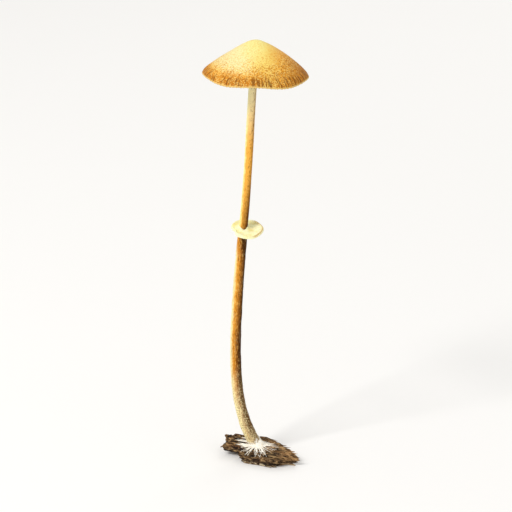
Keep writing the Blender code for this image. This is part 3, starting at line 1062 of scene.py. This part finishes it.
# %% Table of the wood's fibres
WOOD_HEIGHT = 2.8
GRAIN_ANGLE = math.radians(-23)
GRAIN = Vector((math.cos(GRAIN_ANGLE), math.sin(GRAIN_ANGLE), 0))
CROSS = Vector((-math.sin(GRAIN_ANGLE), math.cos(GRAIN_ANGLE), 0))
FIRST_FIBRE = 4.6
FIBRE_PITCH = 0.9
# Each fibre is (start, end, height above WOOD_HEIGHT), measured along the grain.
FIBRES = [
    (-1.3, 3.2, -0.5), (-4.0, 4.3, -0.25), (-7.4, 5.5, -0.1), (-9.0, 6.4, -0.2),
    (-7.4, 7.5, 0.0), (-6.6, 8.8, 0.1), (-6.5, 10.2, 0.0), (-6.5, 11.6, -0.12),
    (-7.5, 10.9, 0.05), (-8.0, 12.9, 0.0), (-3.2, 10.5, -0.1), (-1.6, 9.3, -0.25),
    (-1.9, 9.0, -0.55),
]
CRACKS = (2.1, 0.4, -1.25)
CRACK_HALF = 0.4
CRACK_DEPTH = 1.3


def fibre_at(v):
    """The table's fibre at this distance across the grain."""
    number = round((FIRST_FIBRE - v) / FIBRE_PITCH)
    return FIBRES[min(len(FIBRES) - 1, max(0, number))]


def crack_depth(u, v):
    """How deep an open crack is here; cracks lie towards the torn end."""
    across_it = min(abs(v - c) for c in CRACKS)
    along_it = ease(u, -7.2, -6.2) * (1 - ease(u, -3.2, -1.6))
    return CRACK_DEPTH * along_it * (across_it < CRACK_HALF)


def wood_top(x, y):
    """Height of the wood's upper side under a point."""
    spot = Vector((x, y, 0))
    u, v = spot.dot(GRAIN), spot.dot(CROSS)
    rise = fibre_at(v)[2]
    return WOOD_HEIGHT + rise - 0.1 + 0.05 * rough(0.5 * u, 2 * v, 0) - crack_depth(u, v)


print(f"wood: {len(FIBRES)} rows of fibres along {math.degrees(GRAIN_ANGLE):.0f} degrees")

# %% Strands of the wood
ROW_PITCH = 0.25
WOOD_LAYERS = 5
STRAND_SIDES = 12
STRAND_STEP = 0.345
STRAND_HALF = 0.17
UNDERCUT = 1.0
PRONG = (-4.0, -2.4)
PRONG_SAG = 1.2
ROTTED = (-4.0, -0.8)
ROTTED_LAYERS = 2
rng = random.Random(5)


def wood_strand(v, bottom, top, start, end, seed, curl):
    """One strand between two heights, torn at its start and splintered at its end."""
    steps = max(12, round((end - start) / STRAND_STEP))
    taper = rng.uniform(0.7, 3.2)
    torn = rng.uniform(0.1, 0.7)
    sway = rng.uniform(-0.35, 0.35)
    tip_side, tip_height = rng.uniform(-0.9, 0.9), rng.uniform(-0.9, 0.9)
    rest = rng.choice((0.0, 0.04, 0.08, 0.14))
    half = 0.5 * (top - bottom)
    rings = []
    for i in range(steps + 1):
        u = start + (end - start) * i / steps
        point = min(1.0, (end - u) / taper + 0.06) ** 0.8
        blunt = min(1.0, (u - start) / torn + 0.35)
        wide = STRAND_HALF * point * blunt * (1 + 0.35 * rough(0.5 * u, 3 * v, seed))
        tall = half * 1.12 * point * blunt * (1 + 0.12 * rough(0.4 * u, 5 * v, seed + 3))
        middle_v = v + 0.09 * rough(0.35 * u, seed, 2 * v) + sway * ease(u, end - taper, end) ** 2
        middle_v += STRAND_HALF * (1 - point) * tip_side
        middle_z = bottom + half + half * (1 - point) * tip_height
        middle_z += curl * ease(-u, 5.5, 8.6) - min(crack_depth(u, v), 0.75 * bottom)
        ring = []
        for j in range(STRAND_SIDES):
            angle = math.tau * j / STRAND_SIDES
            edge = 1 + 0.26 * rough(0.7 * u, 2.0 * j, seed + 9)
            a = math.copysign(abs(math.cos(angle)) ** 0.5, math.cos(angle))
            b = math.copysign(abs(math.sin(angle)) ** 0.5, math.sin(angle))
            spot = GRAIN * u + CROSS * (middle_v + wide * edge * a)
            spot.z = max(rest, middle_z + tall * edge * b)
            ring.append(spot)
        rings.append(ring)
    return rings


wood_skin = Skin()
row = 0
v = FIRST_FIBRE + 0.36
while v > FIRST_FIBRE - FIBRE_PITCH * 12 - 0.45:
    start, end, rise = fibre_at(v)
    height = WOOD_HEIGHT + rise
    start += rng.uniform(-0.1, 0.7)
    end -= rng.uniform(0.0, 1.6) if row % 3 else 0.0
    sink = rng.uniform(-0.08, 0.34)
    curl = -PRONG_SAG if PRONG[0] < v < PRONG[1] else 0.0
    for layer in range(WOOD_LAYERS):
        bottom = height * layer / WOOD_LAYERS
        top = height * (layer + 1) / WOOD_LAYERS
        if layer == WOOD_LAYERS - 1:
            top -= sink
        under = UNDERCUT * (1 - (layer + 0.5) / WOOD_LAYERS) * rng.uniform(0.4, 1.5)
        first = start + under * (2.2 if curl else 1.0) + rng.uniform(0.0, 0.35)
        if layer < ROTTED_LAYERS and ROTTED[0] < v < ROTTED[1]:
            first = max(first, 0.5 * (row % 3) - (3.0 if curl else 4.4))
        last = end - under - (rng.uniform(0.0, 0.7) if row % 3 else 0.0)
        seed = 7.3 * row + layer
        wood_skin.sweep(wood_strand(v, bottom, top, first, last, seed, curl * layer / WOOD_LAYERS))
    v -= ROW_PITCH
    row += 1
print(f"wood: {row} rows, {WOOD_LAYERS} strands deep")

# %% [markdown]
# ### Wood colour
#
# Dark umber, with each strand a little different, drier and redder where it has flaked,
# and tan at the splinters, where fresh wood was torn open. Pale and dark flecks lie over
# it, the cracks are painted nearly black as painted shade, and the sides darken downwards
# to a pale crust just above the ground. The underside stays calm. The noise is stretched
# along the grain, so the place is first turned until the grain lies along one axis.

# %% Wood material
WOOD_UMBER = paint(110, 77, 44)
WOOD_DARK = paint(24, 14, 8)
WOOD_RED = paint(120, 76, 42)
WOOD_TAN = paint(190, 148, 100)
WOOD_PALE = paint(204, 168, 118)
WOOD_CRUST = paint(214, 200, 170)

wood_look = Look("wood_look", Roughness=0.85, Specular_IOR_Level=0.2)
spot = place(wood_look)
turned = wood_look.node(
    "ShaderNodeVectorRotate", {"rotation_type": "Z_AXIS"}, {"Vector": spot, "Angle": -GRAIN_ANGLE}
)
along, over, up = axes(turned)
long_way = stretched(turned, (0.14, 1, 1))
strands = cloud(long_way, scale=2.4, detail=3.0, rough=0.7)
hairs = cloud(long_way, scale=6.0, detail=2.0)
patch = cloud(spot, scale=0.45, detail=3.0)
flecks = cloud(stretched(turned, (0.4, 1, 1)), scale=2.0, detail=3.0, rough=0.7)
# The near black in the slits of the cracks is painted shade.
painted_slit_shade = 0.0
for crack in CRACKS:
    away = over - crack
    painted_slit_shade = painted_slit_shade + step(away * away, 0.2, 0.06)
painted_slit_shade = painted_slit_shade * step(along, -1.2, -2.0) * step(along, -7.0, -5.6) * step(up, 0.6, 1.2)
damp = step(over + 2.0 * (patch - 0.5), -3.0, -5.2)
torn_end = step(along + 2.0 * (patch - 0.5), 6.5, 10.0)
under_edge = step(up, 1.5, 1.0) * step(up, 0.3, 0.8)
crust = step(up, 0.8, 0.35) * step(flecks + 0.3 * (hairs - 0.5), 0.5, 0.58)
wood_tone = layered(
    WOOD_DARK,
    (step(strands, 0.45, 0.54), WOOD_UMBER),
    (step(patch, 0.48, 0.68) * 0.6, WOOD_RED),
    (step(hairs, 0.53, 0.6) * 0.8, WOOD_PALE),
    (painted_slit_shade * 0.92, WOOD_DARK),
    (damp * 0.5, WOOD_DARK),
    (torn_end * 0.6, WOOD_TAN),
    (step(flecks, 0.55, 0.63) * 0.7, WOOD_PALE),
    (step(flecks, 0.46, 0.39) * 0.9, WOOD_DARK),
    (step(strands, 0.46, 0.4) * 0.8, WOOD_DARK),
    (under_edge * 0.55, WOOD_DARK),
    (crust * (0.15 + 0.45 * step(up, 0.12, 0.24)), WOOD_CRUST),
    (step(up, 0.2, 0.1) * 0.45, WOOD_UMBER),
)
wood_look.wear(
    Base_Color=wood_tone,
    Roughness=0.75 + 0.2 * strands,
    Normal=bump(strands * 0.4 + hairs * 0.6, 0.12, 0.8),
)
piece("wood_strands", wood_skin, wood_look, ["wood"])

# %% [markdown]
# ## Mycelium
#
# The white threads are the fungus itself, which feeds in the wood. About the foot they
# mat together to a low felt, and from there they run out in rays that thin, wander and
# fork. Hair particles would grow such a coat, but would stay outside the mesh. So the
# felt is a small ridged mound, and every ray is a tapering strand laid over the mound and
# on along the wood.

# %% Mound of felt about the foot
MAT_CENTRE = (0.6, -1.45)
MAT_RADIUS = 2.2
MAT_HEIGHT = 1.3
MAT_UNDER = 2.1
MAT_SINK = 0.16
MAT_SIDES = 180
MAT_STEPS = 22


def swell_at(x, y):
    """How far the felt rises above the wood here."""
    share = math.hypot(x - MAT_CENTRE[0], y - MAT_CENTRE[1]) / MAT_RADIUS
    return MAT_HEIGHT * (1 - ease(share, 0.0, 1.05)) ** 1.3


def mat_point(r, angle):
    x, y = MAT_CENTRE[0] + r * math.cos(angle), MAT_CENTRE[1] + r * math.sin(angle)
    ridges = rough(6 * math.cos(angle), 6 * math.sin(angle), 0.35 * r)
    ridges *= ease(r / MAT_RADIUS, 0.1, 0.5)
    z = wood_top(x, y) - MAT_SINK + swell_at(x, y)
    return Vector((x, y, z + 0.3 * ridges + 0.1 * rough(2.4 * x, 2.4 * y, 2)))


def mat_foot(r, angle):
    spot = mat_point(r, angle)
    spot.z = MAT_UNDER
    return spot


mat_skin = Skin()
mat_rings = []
for i in range(1, MAT_STEPS + 1):
    mat_rings.append(round_ring(mat_point, MAT_RADIUS * i / MAT_STEPS, MAT_SIDES))
mat_rings.append(round_ring(mat_foot, MAT_RADIUS, MAT_SIDES))
mat_skin.sweep(mat_rings, (mat_point(0, 0), None))
print(f"felt: {2 * MAT_RADIUS} mm wide")

# %% Rays
RAY_CENTRE = Vector((0.5, -1.9, 0.0))
RAYS = 72
RAY_START = 0.4
THREAD_LIFT = 0.07
FRONT_EDGE = -6.75
rng = random.Random(31)


def thread(start, heading, length, root, tip, bend, steps=14, sides=7):
    """One tapering thread that follows the wood from a point, and bends as it goes."""
    rings = []
    spot = Vector(start)
    stride = length / steps
    for i in range(steps + 1):
        t = i / steps
        heading += bend * stride + 0.4 * rough(1.1 * spot.x, 1.1 * spot.y, 4.0) * stride
        way = Vector((math.cos(heading), math.sin(heading), 0))
        r = (root + (tip - root) * t**0.8) * (1 + 0.2 * rough(2.5 * spot.x, 2.5 * spot.y, 6.0))
        v = spot.dot(CROSS)
        z = wood_top(spot.x, spot.y) + swell_at(spot.x, spot.y) + 0.35 * r + THREAD_LIFT
        z -= 1.4 * max(0.0, FRONT_EDGE + 0.25 - v)
        middle = Vector((spot.x, spot.y, z))
        side = way.cross(Vector((0, 0, 1)))
        ring = []
        for j in range(sides):
            angle = math.tau * j / sides
            lift = 0.8 * math.sin(angle) * Vector((0, 0, 1))
            ring.append(middle + r * (math.cos(angle) * side + lift))
        rings.append(ring)
        spot += way * stride
    return rings, heading


for i in range(RAYS):
    angle = math.tau * (i + rng.uniform(-0.35, 0.35)) / RAYS
    front = -math.sin(angle)
    leftward = max(0.0, -math.cos(angle))
    length = rng.uniform(2.6, 4.2) + 1.3 * max(0.0, front) - 0.9 * max(0.0, -front)
    length += 0.8 * max(0.0, math.cos(angle + 0.7))
    start = RAY_CENTRE + RAY_START * Vector((math.cos(angle), math.sin(angle), 0))
    bend = rng.uniform(-0.1, 0.1)
    root = rng.uniform(0.14, 0.24) + 0.05 * leftward
    rings, heading = thread(start, angle, length - RAY_START, root, 0.03 + 0.02 * leftward, bend)
    mat_skin.sweep(rings)
    for _ in range(rng.randint(0, 2)):
        j = rng.randint(4, 10)
        middle = sum(rings[j], Vector()) / len(rings[j])
        away = heading + rng.choice((-1, 1)) * rng.uniform(0.25, 0.6)
        fork, _ = thread(middle, away, rng.uniform(0.6, 1.4), 0.06, 0.015, bend, 8, 5)
        mat_skin.sweep(fork)
print(f"{RAYS} rays with their forks")

# %% [markdown]
# On the left the felt reaches along the grain, beside the cracks, in a few fingers. Each
# finger is a bundle of four such threads that lie close together and end unevenly.

# %% Fingers along the grain
FINGER_THREADS = (-0.2, -0.07, 0.07, 0.2)
FINGERS = [
    (1.3, -0.4, -4.6), (1.05, -0.6, -3.9), (-0.3, -0.6, -5.2), (-0.6, -0.8, -4.4),
    (-2.0, -0.6, -4.9), (-2.25, -0.9, -4.1), (-3.0, -0.6, -4.2),
]
LEFTWARD = math.pi + GRAIN_ANGLE
for v, first, last in FINGERS:
    start = GRAIN * first + CROSS * v
    for beside in FINGER_THREADS:
        length = (first - last) * rng.uniform(0.75, 1.0)
        bend = rng.uniform(-0.05, 0.05)
        rings, _ = thread(start + beside * CROSS, LEFTWARD, length, 0.16, 0.04, bend)
        mat_skin.sweep(rings)
print(f"{len(FINGERS)} fingers of {len(FINGER_THREADS)} threads each")

# %% Wool on the foot of the stem
WOOL = 240
for i in range(WOOL):
    angle = rng.uniform(0, math.tau)
    low = 0.5 + 0.5 * math.cos(angle - 2.6)
    right = max(0.0, math.cos(angle + 0.5)) ** 2
    length = rng.uniform(1.0, 1.6 + 1.4 * low + 0.4 * right)
    start = 1.8 + rng.uniform(0.0, 0.9)
    lean, lift = rng.uniform(-0.5, 0.5), rng.uniform(0.0, 0.1)
    mat_skin.sweep(fibril(start, angle, length, lean, lift, rng.uniform(0.03, 0.07)))
print(f"{WOOL} tufts of wool")

# %% [markdown]
# ### Mycelium colour
#
# White, but never paper white: cream in cloudy patches, with faintly grey specks between.
# It has no subsurface light, which gets lost among crossing threads and greys the white.

# %% Mycelium material
MAT_WHITE = paint(255, 253, 244)
MAT_CREAM = paint(246, 232, 206)
MAT_GREY = paint(222, 204, 184)

mat_look = Look("mycelium_look", Roughness=0.9, Specular_IOR_Level=0.1)
spot = place(mat_look)
felt = cloud(spot, scale=2.4, detail=3.0, rough=0.65)
fuzz = cloud(spot, scale=9.0, detail=2.0)
mat_tone = layered(
    MAT_WHITE,
    (step(felt, 0.46, 0.62) * 0.7, MAT_CREAM),
    (step(fuzz, 0.56, 0.68) * 0.5, MAT_GREY),
)
mat_look.wear(
    Base_Color=mat_tone,
    Roughness=0.8 + 0.15 * felt,
    Normal=bump(felt * 0.5 + fuzz * 0.5, 0.04, 0.6),
)
piece("mycelium_threads", mat_skin, mat_look, ["mycelium"])

# %% [markdown]
# ## Sizes
#
# Both boxes, of the imported solids and of the dressed mushroom, are printed side by side.
# The dressed mushroom has to keep the size of the imported solids.

# %% Print both boxes and finish
low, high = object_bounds()
for name, box in (("solids", (cad_low, cad_high)), ("scene", (low, high))):
    print(name, "in mm:", [round(c / MM, 2) for corner in box for c in corner])
